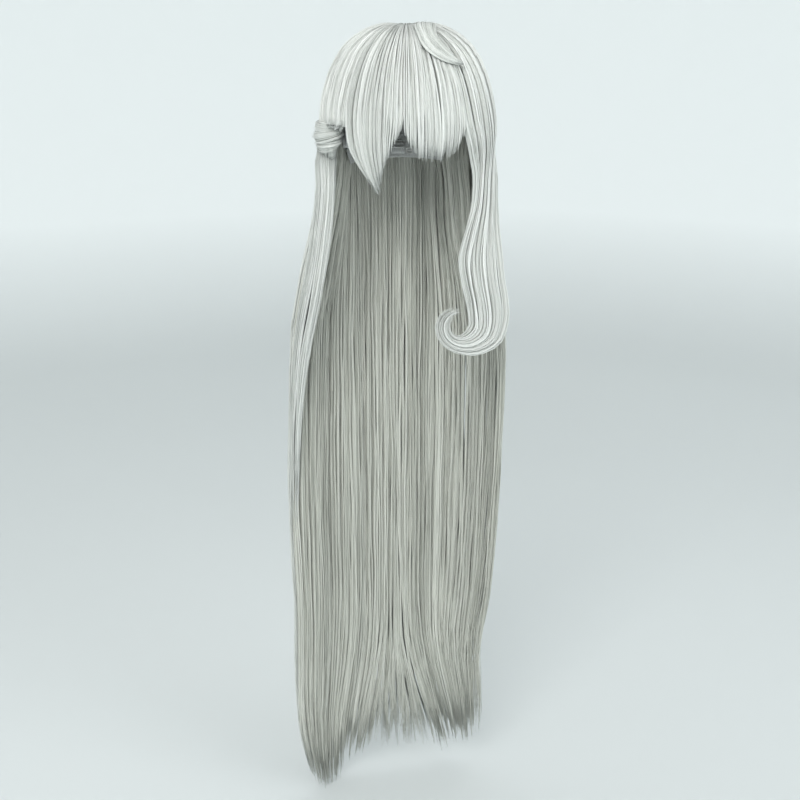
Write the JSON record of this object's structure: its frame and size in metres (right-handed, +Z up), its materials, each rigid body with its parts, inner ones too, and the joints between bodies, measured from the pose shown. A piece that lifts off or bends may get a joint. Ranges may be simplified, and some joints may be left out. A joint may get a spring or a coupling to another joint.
{
  "type": "costume wig",
  "caption": "Long straight silver costume wig on a sewn net cap, with a fringe, one curled side lock, a side twist, nape adjusters and hinged hair sections.",
  "frame": {"origin": "the inside of the cap at the crown, where the top of the wearer's head touches it", "axes": "+Z up; the face looks along -Y; +X is towards the wearer's left"},
  "size_m": [0.282, 0.2187, 1.0758],
  "materials": {
    "hair": "satin",
    "hair_under": "satin",
    "net": "matte",
    "lace": "matte",
    "skin": "satin",
    "elastic": "matte",
    "weft": "matte",
    "plastic": "gloss",
    "steel": "satin"
  },
  "bodies": {
    "cap": {"front_band": "lace", "front_net": "net", "side_net_left": "net", "side_net_right": "net", "back_net_left": "net", "back_net_right": "net", "skin_top": "skin", "nape_band": "elastic", "centre_tape": "elastic", "side_tape_left": "elastic", "side_tape_right": "elastic", "temple_tape_left": "elastic", "temple_tape_right": "elastic", "back_weft_1": "weft", "back_weft_2": "weft", "back_weft_3": "weft", "back_weft_4": "weft", "back_weft_5": "weft", "front_weft_1": "weft", "front_weft_2": "weft", "left_weft_1": "weft", "left_weft_2": "weft", "right_weft_1": "weft", "right_weft_2": "weft", "loop_tape_left": "elastic", "loop_tape_right": "elastic", "strap_casing_left": "lace", "strap_casing_right": "lace", "crown_hair_front": "hair", "crown_hair_left": "hair", "crown_hair_right": "hair", "crown_hair_back_left": "hair", "crown_hair_back_right": "hair", "side_knot": "hair", "knot_wrap": "hair", "knot_band": "elastic"},
    "back_hair_right": {"back_hair_right_over": "hair", "back_hair_right_under": "hair_under", "side_hair_right": "hair_under", "knot_tail": "hair"},
    "back_hair_centre": {"back_hair_centre_over": "hair", "back_hair_centre_under": "hair_under"},
    "back_hair_left": {"back_hair_left_over": "hair", "back_hair_left_under": "hair_under", "side_hair_left": "hair_under"},
    "side_lock": {"side_lock_left": "hair"},
    "fringe": {"fringe_centre": "hair"},
    "face_lock": {"face_lock_right": "hair"},
    "ahoge": {"ahoge": "hair"},
    "ear_tab_left": {"ear_tab_left": "lace", "ear_stay_left": "steel"},
    "ear_tab_right": {"ear_tab_right": "lace", "ear_stay_right": "steel"},
    "adjuster_left": {"adjuster_hook_left": "plastic", "adjuster_strap_left": "elastic"},
    "adjuster_right": {"adjuster_hook_right": "plastic", "adjuster_strap_right": "elastic"}
  },
  "joints": [
    {"name": "back_hair_right_lift", "type": "hinge", "parent": "cap", "child": "back_hair_right", "pos_m": [0, 0.074, -0.15], "axis": [1, 0, 0], "range_deg": [0, 35]},
    {"name": "back_hair_centre_lift", "type": "hinge", "parent": "cap", "child": "back_hair_centre", "pos_m": [0, 0.088, -0.15], "axis": [1, 0, 0], "range_deg": [0, 35]},
    {"name": "back_hair_left_lift", "type": "hinge", "parent": "cap", "child": "back_hair_left", "pos_m": [0, 0.074, -0.15], "axis": [1, 0, 0], "range_deg": [0, 35]},
    {"name": "side_lock_swing", "type": "hinge", "parent": "cap", "child": "side_lock", "pos_m": [0.0816, -0.05, -0.112], "axis": [-1, 0, 0], "range_deg": [0, 30]},
    {"name": "fringe_lift", "type": "hinge", "parent": "cap", "child": "fringe", "pos_m": [0, -0.08931, -0.05071], "axis": [-1, 0, 0], "range_deg": [0, 40]},
    {"name": "face_lock_lift", "type": "hinge", "parent": "cap", "child": "face_lock", "pos_m": [-0.04972, -0.06509, -0.05071], "axis": [-0.7314, 0.682, 0], "range_deg": [0, 30]},
    {"name": "ahoge_lift", "type": "hinge", "parent": "cap", "child": "ahoge", "pos_m": [0.00863, -0.00592, 0.01865], "axis": [-0.8189, -0.5739, 0], "range_deg": [0, 40]},
    {"name": "ear_tab_left_fold", "type": "hinge", "parent": "cap", "child": "ear_tab_left", "pos_m": [0.07455, -0.01958, -0.093], "axis": [0.2079, 0.9781, 0], "range_deg": [0, 15]},
    {"name": "ear_tab_right_fold", "type": "hinge", "parent": "cap", "child": "ear_tab_right", "pos_m": [-0.07455, -0.01958, -0.093], "axis": [0.2079, -0.9781, 0], "range_deg": [0, 15]},
    {"name": "adjuster_left_slide", "type": "hinge", "parent": "cap", "child": "adjuster_left", "pos_m": [0, 0.03008, -0.13827], "axis": [0, 0, 1], "range_deg": [0, 18]},
    {"name": "adjuster_right_slide", "type": "hinge", "parent": "cap", "child": "adjuster_right", "pos_m": [0, 0.03008, -0.13827], "axis": [0, 0, -1], "range_deg": [0, 18]}
  ]
}
